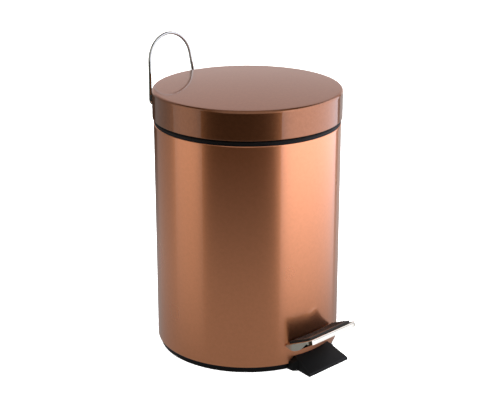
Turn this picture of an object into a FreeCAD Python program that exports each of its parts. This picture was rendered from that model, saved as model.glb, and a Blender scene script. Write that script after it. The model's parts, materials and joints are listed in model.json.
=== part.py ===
import FreeCAD, Part
import math
import os

# Round pedal bin, in millimetres.  The pedal points to -Y, the hinge and the carry
# handle are at +Y, and +Z is up.  The origin is the middle of the base, on the floor.

# ---- driving dimensions -------------------------------------------------------------
# Body shell: rolled steel sheet with a turned-in edge at each end
body_radius = 84.0
sheet = 0.6
body_bottom = 5.5
body_top = 210.3
edge_roll = 1.0
edge_lip = 2.1

# Plastic rim ring that plugs into the top of the body
ring_recess = 0.4
ring_height = 4.4
ring_plug_depth = 8.2
ring_wall = 1.5
ring_web = 2.4
ring_ledge_drop = 2.5
ring_ledge_width = 1.8
ring_rod_gap = 0.85
ring_plug_gap = 0.1
ring_gap_margin = 2.0

# Lid: pressed steel with a slight crown
lid_overhang = 1.05
lid_gap = 0.3
lid_skirt = 26.0
lid_crown = 3.0
lid_roll = 2.75
crown_flat_share = 0.06
hem_width = 2.6
hem_height = 1.2

# Lid hinge
hinge_setback = 6.0
hinge_drop = 12.0
hinge_pin_radius = 1.5
hinge_head_radius = 2.8
hinge_head = 1.2
pin_end = 0.64
knuckle_radius = 4.5
knuckle_half_width = 7.7
ear_radius = 5.0
ear_width = 5.5
notch_side_gap = 1.6
notch_front_gap = 10.0
ear_stem_gap = 1.2
ear_stem_inset = 0.2
ear_stem_root = 2.0
pin_clip_gap = 0.1
arm_half_width = 5.0
arm_pad_half_width = 18.0
arm_pad_length = 28.0
arm_sheet = 1.5
arm_pad_setback = 2.2
arm_shoulder_run = 7.0
arm_shoulder_rise = 7.8
arm_web_front = 4.0
arm_web_cover = 1.0
arm_nose_run = 6.0
arm_nose_rise = 3.0
arm_nose_cheek = 1.0
lid_open_deg = 70.0

# Lift rod between the pedal lever and the lid arm
rod_inset = 4.4
rod_radius = 1.75
rod_tip_radius = 4.2
rod_tip_height = 2.8
rod_tip_seat = 1.6
shoe_radius = 4.0
shoe_height = 9.0
nose_radius = 2.0
rod_end_gap = 0.3
guide_half_width = 9.0
guide_half_height = 7.0
guide_drops = (141.2, 61.2)
guide_wall = 0.65

# Hinge housing on the back of the body
housing_half_width = 21.0
housing_drop = 15.2
housing_rise = 10.7
housing_depth = 19.0
housing_corner = 6.0
housing_wall = 10.0
housing_lid_gap = 1.0
backing_half_width = 18.0
backing_half_height = 5.0
backing_thick = 3.2
screw_radius = 1.5
screw_head_radius = 3.0
screw_head = 2.0
housing_screw_x = 13.0
housing_screw_drop = 8.2
housing_screw_length = 14.0

# Carry handle: a wire loop that swings in two bushes
handle_wire = 1.5
handle_setback = 14.0
handle_rise = 1.7
handle_side_room = 9.0
handle_reach = 62.0
handle_top_radius = 25.4
handle_bend = 4.0
handle_lean_deg = 6.7
handle_tail = 9.0
bush_wall = 1.5
bush_flange = 1.5
bush_flange_thick = 1.0
bush_depth = 10.0
stop_height = 4.0
stop_thick = 2.9
stop_gap = 0.1
stop_root = 1.0

# Base pan
base_inset = 2.7
base_flange = 1.9
base_collar_gap = 0.1
base_ring_width = 3.3
base_plate_low = 4.0
base_plate = 2.0
base_hub_radius = 15.0
rib_width = 1.6
rib_count = 8
rib_foot = 1.0
rib_bury = 1.0

# Front foot that stops the bin tipping when the pedal is pressed
foot_projection = 18.6
foot_tip_half_width = 25.5
foot_root_half_width = 27.0
foot_root_height = 12.2
foot_slope_inset = 2.0
foot_waist_half_width = 23.0
foot_waist_projection = 3.5
foot_tip_height = 2.6
foot_toe = 0.6
foot_toe_drop = 0.8
foot_root_inset = 8.0
foot_tongue_length = 12.0
foot_tongue_height = 11.6
foot_tongue_half_width = 22.0
foot_corner_run = 5.5
foot_corner_drop = 5.0
foot_screw_x = 16.0
foot_screw_inset = 7.0
foot_screw_length = 7.0

# Pedal: steel plate with a rubber tread on a bent steel lever
pedal_slope_deg = 24.0
pedal_plate_z = 27.8
pedal_sheet = 1.2
pedal_half_width = 31.0
pedal_projection = 21.2
pedal_lip_radius = 2.0
pedal_lip_drop = 1.9
pedal_corner = 4.5
pedal_wall_gap = 1.0
pedal_lip_depth = 2.0
pedal_rear_depth = 2.0
pedal_hollow_drop = 3.0
flange_low_z = 22.0
flange_low_projection = 3.0
flange_nose_run = 8.0
flange_nose_rise = 3.4
flange_tail_rise = 1.5
flange_tail_run = 3.2
tread_thick = 2.0
tread_projection = 19.2
tread_half_width = 28.0
tread_wall_gap = 1.6
tread_corner = 2.5
lever_thick = 1.8
lever_top = 15.8
lever_half_width = 12.0
lever_rear_half_width = 7.0
lever_overhang = 2.5
lever_taper = 41.5
lever_projection = 15.0
pedal_rivet_x = 6.5
pedal_rivet_projection = 9.0
rivet_radius = 1.6
rivet_head_radius = 3.0
rivet_head = 1.2

# Pedal pivot
pivot_y = -36.0
pivot_z = 11.0
pivot_pin_radius = 2.0
pivot_ear_radius = 3.6
pivot_ear = 1.8
lug_gap = 0.6
lug_width = 4.0
lug_half_length = 6.0
clip_width = 0.8
clip_radius = 3.8
slot_side_gap = 1.5
slot_top_gap = 1.0
slot_low_gap = 0.7
pedal_press_deg = 7.55

# Inner bucket and its wire bail
bucket_bottom = 38.0
bucket_taper = 6.9
bucket_wall = 1.4
bucket_floor = 1.6
bucket_rim_width = 2.2
bucket_rim = 2.0
bucket_side_gap = 0.7
bucket_rim_gap = 0.3
bail_wire = 1.25
bail_drop = 7.2
bail_wall_gap = 0.65
bail_bend = 3.0
bail_tail = 3.4
bail_rest_gap = 0.15
bail_foot_bend = 2.0

# Clearances
running_gap = 0.05
fixed_gap = 0.02
side_gap = 0.3

# ---- sizes that follow from the driving dimensions ------------------------------------
body_inner = body_radius - sheet
lip_radius = body_radius - edge_lip
rod_y = body_inner - rod_inset
ring_radius = body_radius - ring_recess
ring_top = body_top + ring_height
ring_plug_radius = lip_radius - ring_plug_gap
ledge_radius = rod_y - rod_radius - ring_rod_gap
ledge_top = ring_top - ring_ledge_drop
ring_bore = ledge_radius - ring_ledge_width
ring_low = ledge_top - ring_web
lid_radius = body_radius + lid_overhang
base_radius = body_radius - base_inset
lid_low = ring_top + lid_gap
lid_rim = lid_low + lid_skirt
lid_top = lid_rim + lid_crown
hinge_y = body_radius + hinge_setback
hinge_z = lid_rim - hinge_drop
ear_inner = knuckle_half_width + side_gap
ear_outer = ear_inner + ear_width
notch_half_width = ear_outer + 2 * hinge_head + notch_side_gap - side_gap
arm_reach = hinge_y - rod_y
nose_z = hinge_z - arm_reach * math.tan(math.radians(lid_open_deg / 2))
rod_tip_top = nose_z - nose_radius - rod_end_gap
shoe_low = lever_top + rod_end_gap
guide_inner_y = rod_y - rod_radius - guide_wall
housing_back = body_radius + housing_depth
housing_low = body_top - housing_drop
housing_high = body_top + housing_rise
housing_screw_z = body_top - housing_screw_drop
backing_inner_y = body_inner - backing_thick
handle_y = body_radius + handle_setback
handle_z = body_top + handle_rise
handle_half_width = housing_half_width + handle_side_room
foot_reach = body_radius + foot_projection
foot_toe_y = foot_reach + foot_toe
foot_inner_y = body_radius - foot_root_inset
foot_tongue_y = foot_inner_y - foot_tongue_length
foot_screw_y = foot_inner_y - foot_screw_inset
pedal_front = body_radius + pedal_projection
flange_low_y = body_radius + flange_low_projection
tread_front = body_radius + tread_projection
pedal_rivet_y = body_radius + pedal_rivet_projection
lever_front = body_radius + lever_projection
lever_rear_y = rod_y + lever_overhang
lever_taper_y = lever_rear_y - lever_taper
pedal_slope = math.radians(pedal_slope_deg)
slope_tan = math.tan(pedal_slope)
slot_inner_y = math.sqrt(body_inner ** 2 - lever_half_width ** 2)
slot_lever_z = pedal_plate_z - (body_radius - slot_inner_y) * slope_tan
slot_lever_z -= (pedal_sheet + lever_thick) / math.cos(pedal_slope)
pedal_press = math.radians(pedal_press_deg)
slot_low = pivot_z + (slot_lever_z - pivot_z) * math.cos(pedal_press)
slot_low -= (slot_inner_y + pivot_y) * math.sin(pedal_press) + slot_low_gap
bucket_rim_radius = ledge_radius - bucket_rim_gap
bucket_top_radius = ring_bore - bucket_side_gap
bucket_top = ledge_top + bucket_rim
bucket_mouth = bucket_top_radius - bucket_wall
bucket_bottom_radius = bucket_top_radius - bucket_taper

V = FreeCAD.Vector
ALONG_X = V(1, 0, 0)
ALONG_Y = V(0, 1, 0)
ALONG_Z = V(0, 0, 1)
HALF_TURN_MID = math.cos(math.radians(45))
TALL = 400.0

# How far a cutting solid runs past what it cuts
past = 1.0


# ---- shape helpers ---------------------------------------------------------------------
def outline_wire(points, place):
    """Closed wire: (u, v) is reached by a line, (mid_u, mid_v, u, v) by an arc."""
    edges = []
    here = points[0]
    for step in points[1:] + [points[0]]:
        start, end = place(*here), place(*step[-2:])
        if len(step) == 4:
            edges.append(Part.Arc(start, place(*step[:2]), end).toShape())
        elif start.distanceToPoint(end) > 1e-6:
            edges.append(Part.LineSegment(start, end).toShape())
        here = step[-2:]
    return Part.Wire(edges)


def turned(points, x=0.0, y=0.0):
    """Solid of revolution about the vertical line through (x, y), from (radius, z)."""
    face = Part.Face(outline_wire(points, lambda r, z: V(x + r, y, z)))
    return face.revolve(V(x, y, 0), ALONG_Z, 360)


def side_slab(points, x_low, x_high):
    """Slab across the bin from an outline in (y, z)."""
    face = Part.Face(outline_wire(points, lambda y, z: V(x_low, y, z)))
    return face.extrude(V(x_high - x_low, 0, 0))


def plan_slab(points, z_low, z_high):
    """Upright slab from an outline in (x, y)."""
    face = Part.Face(outline_wire(points, lambda x, y: V(x, y, z_low)))
    return face.extrude(V(0, 0, z_high - z_low))


def front_slab(points, y_low, y_high):
    """Slab along the bin from an outline in (x, z)."""
    face = Part.Face(outline_wire(points, lambda x, z: V(x, y_low, z)))
    return face.extrude(V(0, y_high - y_low, 0))


def block(x_low, x_high, y_low, y_high, z_low, z_high):
    size = (x_high - x_low, y_high - y_low, z_high - z_low)
    return Part.makeBox(*size, V(x_low, y_low, z_low))


def drum(radius, z_low, z_high, x=0.0, y=0.0):
    return Part.makeCylinder(radius, z_high - z_low, V(x, y, z_low), ALONG_Z)


def cross_pin(radius, x_low, x_high, y, z):
    return Part.makeCylinder(radius, x_high - x_low, V(x_low, y, z), ALONG_X)


def both_sides(make):
    """The piece that make builds for +X and its mirror at -X."""
    right = make()
    return [right, right.mirror(V(0, 0, 0), ALONG_X)]


def front_rounded(half_width, y_rear, y_front, corner):
    """Plan outline with a straight rear edge and two rounded front corners."""
    inset = corner * (1 - HALF_TURN_MID)
    return [
        (-half_width, y_rear),
        (-half_width, y_front + corner),
        (-half_width + inset, y_front + inset, -half_width + corner, y_front),
        (half_width - corner, y_front),
        (half_width - inset, y_front + inset, half_width, y_front + corner),
        (half_width, y_rear),
    ]


def wire_sweep(edges, radius):
    """Round wire of the given radius along a chain of edges."""
    path = Part.Wire(Part.__sortEdges__(edges))
    first = path.OrderedEdges[0]
    start = first.valueAt(first.FirstParameter)
    towards = first.tangentAt(first.FirstParameter)
    ring = Part.Wire(Part.makeCircle(radius, start, towards))
    return path.makePipeShell([ring], True, True)


def line(start, end):
    return Part.LineSegment(start, end).toShape()


def bend(start, corner, end, radius):
    """Arc of the radius that joins the runs start-corner and corner-end, with its ends."""
    back = (start - corner).normalize()
    on = (end - corner).normalize()
    half = back.getAngle(on) / 2
    reach = radius / math.tan(half)
    inward = (back + on).normalize()
    centre = corner + inward * (radius / math.sin(half))
    first, last = corner + back * reach, corner + on * reach
    return first, Part.Arc(first, centre - inward * radius, last).toShape(), last


# ---- body ------------------------------------------------------------------------------
def screw_along_y(x, seat_y, z, length):
    """Pan-head screw whose shank runs to +Y from the seat."""
    shank = Part.makeCylinder(screw_radius, length, V(x, seat_y, z), ALONG_Y)
    head = Part.makeCylinder(screw_head_radius, screw_head, V(x, seat_y - screw_head, z), ALONG_Y)
    return shank.fuse(head).removeSplitter()


def foot_notch():
    """Opening at the foot of the shell that the front foot comes out through."""
    half = foot_root_half_width + 2 * side_gap
    top = foot_root_height + side_gap
    outline = [
        (-half, -past),
        (-half, top - foot_corner_drop),
        (-half + foot_corner_run, top),
        (half - foot_corner_run, top),
        (half, top - foot_corner_drop),
        (half, -past),
    ]
    return front_slab(outline, -body_radius - past, -foot_inner_y)


def lever_slot():
    half = lever_half_width + slot_side_gap
    top = pedal_plate_z - pedal_sheet + slot_top_gap
    return block(-half, half, -body_radius - past, -foot_inner_y, slot_low, top)


def make_body_shell():
    inset = edge_roll * (1 - HALF_TURN_MID)
    shell = turned([
        (lip_radius, body_bottom),
        (body_radius - edge_roll, body_bottom),
        (body_radius - inset, body_bottom + inset, body_radius, body_bottom + edge_roll),
        (body_radius, body_top - edge_roll),
        (body_radius - inset, body_top - inset, body_radius - edge_roll, body_top),
        (lip_radius, body_top),
        (lip_radius, body_top - sheet),
        (body_inner, body_top - sheet),
        (body_inner, body_bottom + sheet),
        (lip_radius, body_bottom + sheet),
    ])
    cuts = [foot_notch(), lever_slot()]
    for x in (-housing_screw_x, housing_screw_x):
        start = V(x, backing_inner_y, housing_screw_z)
        cuts.append(Part.makeCylinder(screw_radius + running_gap, housing_depth, start, ALONG_Y))
    return shell.cut(cuts)


def make_top_ring():
    ring = turned([
        (ring_radius, body_top),
        (ring_radius, ring_top - edge_roll),
        (ring_radius - edge_roll, ring_top),
        (ledge_radius, ring_top),
        (ledge_radius, ledge_top),
        (ring_bore, ledge_top),
        (ring_bore, ring_low),
        (ring_plug_radius - ring_wall, ring_low),
        (ring_plug_radius - ring_wall, body_top - ring_plug_depth),
        (ring_plug_radius, body_top - ring_plug_depth),
        (ring_plug_radius, body_top),
    ])
    rod_hole = drum(rod_radius + running_gap, ring_low - past, ring_top + past, y=rod_y)
    gap_half = backing_half_width + ring_gap_margin
    plug_gap = block(-gap_half, gap_half, rod_y - rod_radius, body_radius, body_bottom, ring_low)
    return ring.cut([rod_hole, plug_gap])


def make_base_pan():
    plate_top = base_plate_low + base_plate
    flange_low = body_bottom + sheet
    collar = lip_radius - base_collar_gap
    pan = turned([
        (0.0, 0.0),
        (base_hub_radius, 0.0),
        (base_hub_radius, base_plate_low),
        (base_radius - base_ring_width, base_plate_low),
        (base_radius - base_ring_width, 0.0),
        (base_radius, 0.0),
        (collar, flange_low),
        (body_inner - base_collar_gap, flange_low),
        (body_inner - base_collar_gap, flange_low + base_flange),
        (base_radius, flange_low + base_flange),
        (base_radius, plate_top),
        (0.0, plate_top),
    ])
    rib_start = base_hub_radius - rib_bury
    rib_end = base_radius - base_ring_width + rib_bury
    ribs = []
    for number in range(rib_count):
        rib = block(rib_start, rib_end, -rib_width / 2, rib_width / 2, rib_foot, base_plate_low)
        ribs.append(rib.rotate(V(0, 0, 0), ALONG_Z, number * 360.0 / rib_count))
    lugs = both_sides(make_pivot_lug)
    pan = pan.fuse(ribs + lugs).removeSplitter()
    half = foot_root_half_width + side_gap
    foot_room = block(-half, half, -body_radius, -foot_inner_y + side_gap, -past, foot_root_height)
    holes = [
        drum(screw_radius + fixed_gap, -past, foot_tongue_height, x, -foot_screw_y)
        for x in (-foot_screw_x, foot_screw_x)
    ]
    return pan.cut([foot_room] + holes)


def make_pivot_lug():
    inner = lever_half_width + lug_gap
    outer = inner + lug_width
    plate_top = base_plate_low + base_plate
    low_y = pivot_y - lug_half_length
    post = block(inner, outer, low_y, pivot_y + lug_half_length, plate_top, pivot_z)
    round_top = cross_pin(lug_half_length, inner, outer, pivot_y, pivot_z)
    above = block(inner, outer, low_y, pivot_y + lug_half_length, plate_top, TALL)
    bore = cross_pin(pivot_pin_radius + fixed_gap, 0.0, outer + past, pivot_y, pivot_z)
    return post.fuse(round_top.common(above)).cut(bore)


def make_front_foot():
    side = side_slab([
        (-foot_inner_y, 0.0),
        (-foot_inner_y, foot_root_height),
        (-body_radius + foot_slope_inset, foot_root_height),
        (-foot_reach, foot_tip_height),
        (-foot_toe_y, foot_tip_height - foot_toe_drop),
        (-foot_toe_y, 0.0),
    ], -foot_root_half_width, foot_root_half_width)
    plan = plan_slab([
        (-foot_root_half_width, -foot_inner_y),
        (foot_root_half_width, -foot_inner_y),
        (foot_root_half_width, -body_radius),
        (foot_waist_half_width, -body_radius - foot_waist_projection),
        (foot_tip_half_width, -foot_toe_y),
        (-foot_tip_half_width, -foot_toe_y),
        (-foot_waist_half_width, -body_radius - foot_waist_projection),
        (-foot_root_half_width, -body_radius),
    ], 0.0, foot_root_height)
    shoulder = front_slab([
        (-foot_root_half_width, 0.0),
        (-foot_root_half_width, foot_root_height - foot_corner_drop),
        (-foot_root_half_width + foot_corner_run, foot_root_height),
        (foot_root_half_width - foot_corner_run, foot_root_height),
        (foot_root_half_width, foot_root_height - foot_corner_drop),
        (foot_root_half_width, 0.0),
    ], -foot_reach - past, -foot_inner_y)
    plate_top = base_plate_low + base_plate
    tongue = block(-foot_tongue_half_width, foot_tongue_half_width,
                   -foot_inner_y, -foot_tongue_y, plate_top, foot_tongue_height)
    foot = side.common(plan).common(shoulder).fuse(tongue).removeSplitter()
    holes = [
        drum(screw_radius, plate_top - past, base_plate_low + foot_screw_length, x, -foot_screw_y)
        for x in (-foot_screw_x, foot_screw_x)
    ]
    return foot.cut(holes)


def make_foot_screws():
    def screw(x):
        shank_top = base_plate_low + foot_screw_length
        shank = drum(screw_radius, base_plate_low, shank_top, x, -foot_screw_y)
        head_low = base_plate_low - screw_head
        head = drum(screw_head_radius, head_low, base_plate_low, x, -foot_screw_y)
        return shank.fuse(head).removeSplitter()
    return Part.makeCompound([screw(-foot_screw_x), screw(foot_screw_x)])


# ---- pedal -----------------------------------------------------------------------------
def plate_height(distance, below=0.0):
    """Height of the pedal plate's top at a distance in front of the axis, less an offset."""
    rise = (distance - body_radius) * slope_tan
    return pedal_plate_z + rise - below / math.cos(pedal_slope)


def pedal_profile(inset):
    """Side outline of the pedal pressing, moved in from its outer skin by inset."""
    radius = pedal_lip_radius - inset
    centre_y = pedal_front + pedal_lip_radius * math.sin(pedal_slope)
    centre_z = plate_height(pedal_front) - pedal_lip_radius * math.cos(pedal_slope)
    top_angle = math.radians(90) + pedal_slope
    mid_angle = top_angle / 2
    start = (centre_y + radius * math.cos(top_angle), centre_z + radius * math.sin(top_angle))
    middle = (centre_y + radius * math.cos(mid_angle), centre_z + radius * math.sin(mid_angle))
    rear = foot_inner_y
    tail_y = rear + flange_tail_run
    low_front_y = flange_low_y + flange_nose_run
    lip_low = centre_z - pedal_lip_drop
    drop = pedal_hollow_drop if inset else 0.0
    points = [
        (rear, plate_height(rear, inset)),
        start,
        (*middle, centre_y + radius, centre_z),
        (centre_y + radius, lip_low - drop),
        (pedal_front - pedal_lip_depth, lip_low - drop),
        (low_front_y, flange_low_z + flange_nose_rise - drop),
        (flange_low_y, flange_low_z - drop, tail_y, flange_low_z + flange_tail_rise - drop),
        (rear, plate_height(rear, pedal_rear_depth) - 2 * drop),
    ]
    return [tuple(-v if n % 2 == 0 else v for n, v in enumerate(p)) for p in points]


def make_pedal_plate():
    tip = -(pedal_front + pedal_lip_radius * math.sin(pedal_slope) + pedal_lip_radius)
    skin = side_slab(pedal_profile(0.0), -pedal_half_width, pedal_half_width)
    plan = front_rounded(pedal_half_width, -foot_inner_y, tip, pedal_corner)
    skin = skin.common(plan_slab(plan, 0.0, TALL))
    inner_half = pedal_half_width - pedal_sheet
    hollow = side_slab(pedal_profile(pedal_sheet), -inner_half, inner_half)
    inner_plan = front_rounded(inner_half, -foot_inner_y + past, tip + pedal_sheet,
                               pedal_corner - pedal_sheet)
    hollow = hollow.common(plan_slab(inner_plan, 0.0, TALL))
    wall = drum(body_radius + pedal_wall_gap, 0.0, TALL)
    return skin.cut([hollow, wall] + rivet_shanks())


def rivet_axis(x):
    normal = V(0, math.sin(pedal_slope), math.cos(pedal_slope))
    return V(x, -pedal_rivet_y, plate_height(pedal_rivet_y)), normal * -1


def rivet_shanks():
    shanks = []
    for x in (-pedal_rivet_x, pedal_rivet_x):
        top, down = rivet_axis(x)
        shanks.append(Part.makeCylinder(rivet_radius, pedal_sheet + lever_thick, top, down))
    return shanks


def make_pedal_rivets():
    rivets = []
    for x, shank in zip((-pedal_rivet_x, pedal_rivet_x), rivet_shanks()):
        top, down = rivet_axis(x)
        seat = top + down * (pedal_sheet + lever_thick)
        head = Part.makeCone(rivet_head_radius, rivet_radius, rivet_head, seat, down)
        rivets.append(shank.fuse(head).removeSplitter())
    return Part.makeCompound(rivets)


def make_pedal_tread():
    rear = foot_inner_y
    lean = tread_thick * math.sin(pedal_slope)
    slab = side_slab([
        (-rear, plate_height(rear)),
        (-tread_front, plate_height(tread_front)),
        (-tread_front + lean, plate_height(tread_front) + tread_thick * math.cos(pedal_slope)),
        (-rear, plate_height(rear, -tread_thick)),
    ], -tread_half_width, tread_half_width)
    plan = front_rounded(tread_half_width, -rear + past, -tread_front, tread_corner)
    wall = drum(body_radius + tread_wall_gap, 0.0, TALL)
    return slab.common(plan_slab(plan, 0.0, TALL)).cut(wall)


def make_pedal_lever():
    under = pedal_sheet
    bottom = lever_top - lever_thick
    bend_top = body_radius - (plate_height(body_radius, under) - lever_top) / slope_tan
    low_rise = plate_height(body_radius, under + lever_thick) - bottom
    bend_low = body_radius - low_rise / slope_tan
    strip = side_slab([
        (-lever_front, plate_height(lever_front, under)),
        (-bend_top, lever_top),
        (lever_rear_y, lever_top),
        (lever_rear_y, bottom),
        (-bend_low, bottom),
        (-lever_front, plate_height(lever_front, under + lever_thick)),
    ], -lever_half_width, lever_half_width)
    plan = plan_slab([
        (-lever_half_width, -lever_front),
        (lever_half_width, -lever_front),
        (lever_half_width, lever_taper_y),
        (lever_rear_half_width, lever_rear_y),
        (-lever_rear_half_width, lever_rear_y),
        (-lever_half_width, lever_taper_y),
    ], 0.0, TALL)

    def ear():
        inner = lever_half_width - pivot_ear
        cheek = block(inner, lever_half_width, pivot_y - pivot_ear_radius,
                      pivot_y + pivot_ear_radius, pivot_z, bottom)
        return cheek.fuse(cross_pin(pivot_ear_radius, inner, lever_half_width, pivot_y, pivot_z))

    lever = strip.common(plan).fuse(both_sides(ear)).removeSplitter()
    reach = 2 * lever_half_width
    bore = cross_pin(pivot_pin_radius + running_gap, -reach, reach, pivot_y, pivot_z)
    return lever.cut([bore] + rivet_shanks())


def make_pivot_pin():
    half = lever_half_width + lug_gap + lug_width + 2 * clip_width
    return cross_pin(pivot_pin_radius, -half, half, pivot_y, pivot_z)


def make_pivot_clips():
    def clip():
        start = lever_half_width + lug_gap + lug_width + pin_clip_gap
        disc = cross_pin(clip_radius, start, start + clip_width, pivot_y, pivot_z)
        return disc.cut(cross_pin(pivot_pin_radius, 0.0, TALL, pivot_y, pivot_z))
    return Part.makeCompound(both_sides(clip))


# ---- lift rod --------------------------------------------------------------------------
def make_lift_rod():
    low = shoe_low + shoe_radius / 2
    return drum(rod_radius, low, rod_tip_top - rod_tip_height + rod_tip_seat, y=rod_y)


def make_rod_shoe():
    """Plastic foot with a round end that rides on the back of the pedal lever."""
    mid = shoe_radius * HALF_TURN_MID
    centre = shoe_low + shoe_radius
    shoe = turned([
        (0.0, shoe_low),
        (mid, centre - mid, shoe_radius, centre),
        (shoe_radius, shoe_low + shoe_height),
        (0.0, shoe_low + shoe_height),
    ], y=rod_y)
    return shoe.cut(make_lift_rod())


def make_rod_tip():
    """Plastic cap on top of the rod that the lid arm's nose sits on."""
    tip = drum(rod_tip_radius, rod_tip_top - rod_tip_height, rod_tip_top, y=rod_y)
    return tip.cut(make_lift_rod())


def make_rod_guides():
    guides = []
    inside = drum(body_inner, 0.0, body_top)
    bore = drum(rod_radius + running_gap, 0.0, body_top, y=rod_y)
    for drop in guide_drops:
        height = body_top - drop
        body = block(-guide_half_width, guide_half_width, guide_inner_y, body_radius,
                     height - guide_half_height, height + guide_half_height)
        guides.append(body.common(inside).cut(bore))
    return Part.makeCompound(guides)


# ---- lid and hinge ---------------------------------------------------------------------
def lid_solid(inset, low):
    """Everything inside the lid's skin moved in by inset, down to the height low."""
    radius = lid_radius - inset
    roll = lid_roll - inset
    mid = roll * HALF_TURN_MID
    shoulder_r = lid_radius - lid_roll
    shoulder_z = lid_rim - lid_roll
    flat = shoulder_r * crown_flat_share
    sag = 1 - ((shoulder_r + flat) / 2 - flat) ** 2 / (shoulder_r - flat) ** 2
    crown_mid = lid_rim + lid_crown * sag - inset
    return turned([
        (0.0, low),
        (radius, low),
        (radius, shoulder_z),
        (shoulder_r + mid, shoulder_z + mid, shoulder_r, lid_rim - inset),
        ((shoulder_r + flat) / 2, crown_mid, flat, lid_top - inset),
        (0.0, lid_top - inset),
    ])


def make_lid_shell():
    skin = lid_solid(0.0, lid_low).cut(lid_solid(sheet, lid_low - past))
    hem = drum(lid_radius - sheet / 2, lid_low, lid_low + hem_height)
    hem = hem.cut(drum(lid_radius - hem_width, lid_low - past, lid_low + TALL))
    skin = skin.fuse(hem).removeSplitter()
    notch = block(-notch_half_width, notch_half_width, rod_y - notch_front_gap, lid_radius + past,
                  lid_low - past, lid_rim - lid_roll)
    return skin.cut(notch)


def make_lid_arm():
    """Hinge arm: a pad under the lid, a web, the knuckle and the nose that is lifted."""
    pad_rear = lid_radius - lid_roll - arm_pad_setback
    web_front = pad_rear - arm_pad_length + arm_web_front
    shoulder = (hinge_y - arm_shoulder_run, hinge_z + arm_shoulder_rise)
    pad = block(-arm_pad_half_width, arm_pad_half_width, pad_rear - arm_pad_length, pad_rear,
                hinge_z, lid_top)
    pad = pad.common(lid_solid(sheet, hinge_z)).cut(lid_solid(sheet + arm_sheet, hinge_z - past))
    nose_y = rod_y
    web = side_slab([
        (hinge_y, hinge_z + knuckle_radius),
        shoulder,
        (pad_rear, lid_rim),
        (web_front, lid_rim + lid_crown),
        (web_front, lid_rim - arm_web_cover),
        (nose_y - arm_nose_run, hinge_z + arm_nose_rise),
        (nose_y - nose_radius, nose_z),
        (nose_y, nose_z - nose_radius, nose_y + nose_radius, nose_z),
        (nose_y + nose_radius, hinge_z - arm_nose_cheek),
    ], -arm_half_width, arm_half_width)
    web = web.common(lid_solid(sheet + arm_sheet / 2, nose_z - TALL / 4))
    reach_out = side_slab([
        (hinge_y, hinge_z + knuckle_radius),
        shoulder,
        (nose_y, hinge_z + arm_shoulder_rise),
        (nose_y, hinge_z - arm_nose_cheek),
        (hinge_y - knuckle_radius / 2, hinge_z - arm_nose_cheek),
    ], -arm_half_width, arm_half_width)
    knuckle = cross_pin(knuckle_radius, -knuckle_half_width, knuckle_half_width, hinge_y, hinge_z)
    arm = pad.fuse([web, reach_out, knuckle]).removeSplitter()
    bore = cross_pin(hinge_pin_radius + running_gap, -TALL / 4, TALL / 4, hinge_y, hinge_z)
    return arm.cut(bore)


def make_hinge_housing():
    corner = housing_corner
    half = housing_half_width
    low_front = body_radius - housing_wall
    inset = corner * (1 - HALF_TURN_MID)
    plan = plan_slab([
        (-half, low_front),
        (half, low_front),
        (half, housing_back - corner),
        (half - inset, housing_back - inset, half - corner, housing_back),
        (-half + corner, housing_back),
        (-half + inset, housing_back - inset, -half, housing_back - corner),
    ], housing_low, housing_high)
    side = side_slab([
        (low_front, housing_low),
        (housing_back - corner, housing_low),
        (housing_back, housing_low + corner),
        (housing_back, housing_high - corner),
        (housing_back - inset, housing_high - inset, housing_back - corner, housing_high),
        (low_front, housing_high),
    ], -half, half)

    def ear():
        stem_front = lid_radius + ear_stem_gap
        stem = block(ear_inner, ear_outer, stem_front, hinge_y + ear_radius - ear_stem_inset,
                     housing_high - ear_stem_root, hinge_z)
        return stem.fuse(cross_pin(ear_radius, ear_inner, ear_outer, hinge_y, hinge_z))

    def stop():
        """Lug that the handle's leg leans against when it stands up."""
        face = handle_y - handle_wire - stop_gap
        reach = handle_half_width + handle_wire
        return block(half - stop_root, reach, face - stop_thick, face,
                     housing_high - stop_height, housing_high)

    housing = plan.common(side).fuse(both_sides(stop)).removeSplitter()
    split = ring_top + lid_gap / 2
    housing = housing.cut([
        drum(body_radius, 0.0, split),
        drum(lid_radius + housing_lid_gap, split, TALL),
    ])
    housing = housing.fuse(both_sides(ear)).removeSplitter()
    cuts = [cross_pin(hinge_pin_radius + fixed_gap, -TALL / 4, TALL / 4, hinge_y, hinge_z)]
    bore_start = half - bush_depth
    for low in (-half, bore_start):
        bush_radius = handle_wire + running_gap + bush_wall
        cuts.append(cross_pin(bush_radius, low, low + bush_depth, handle_y, handle_z))
    for x in (-housing_screw_x, housing_screw_x):
        start = V(x, backing_inner_y, housing_screw_z)
        cuts.append(Part.makeCylinder(screw_radius, housing_screw_length, start, ALONG_Y))
    return housing.cut(cuts)


def make_backing_plate():
    low = housing_screw_z - backing_half_height
    plate = block(-backing_half_width, backing_half_width, backing_inner_y, body_radius,
                  low, low + 2 * backing_half_height)
    plate = plate.common(drum(body_inner, 0.0, body_top))
    cuts = [drum(rod_radius + 2 * side_gap, 0.0, body_top, y=rod_y)]
    for x in (-housing_screw_x, housing_screw_x):
        start = V(x, backing_inner_y - past, housing_screw_z)
        cuts.append(Part.makeCylinder(screw_radius + fixed_gap, TALL / 10, start, ALONG_Y))
    return plate.cut(cuts)


def make_housing_screws():
    return Part.makeCompound([
        screw_along_y(x, backing_inner_y, housing_screw_z, housing_screw_length)
        for x in (-housing_screw_x, housing_screw_x)
    ])


def make_hinge_pin():
    end = ear_outer + pin_clip_gap + clip_width + pin_end
    shank = cross_pin(hinge_pin_radius, -ear_outer, end, hinge_y, hinge_z)
    head_low = -ear_outer - hinge_head
    head = cross_pin(hinge_head_radius, head_low, -ear_outer, hinge_y, hinge_z)
    return shank.fuse(head).removeSplitter()


def make_hinge_clip():
    start = ear_outer + pin_clip_gap
    disc = cross_pin(hinge_head_radius, start, start + clip_width, hinge_y, hinge_z)
    return disc.cut(cross_pin(hinge_pin_radius, 0.0, TALL, hinge_y, hinge_z))


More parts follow.
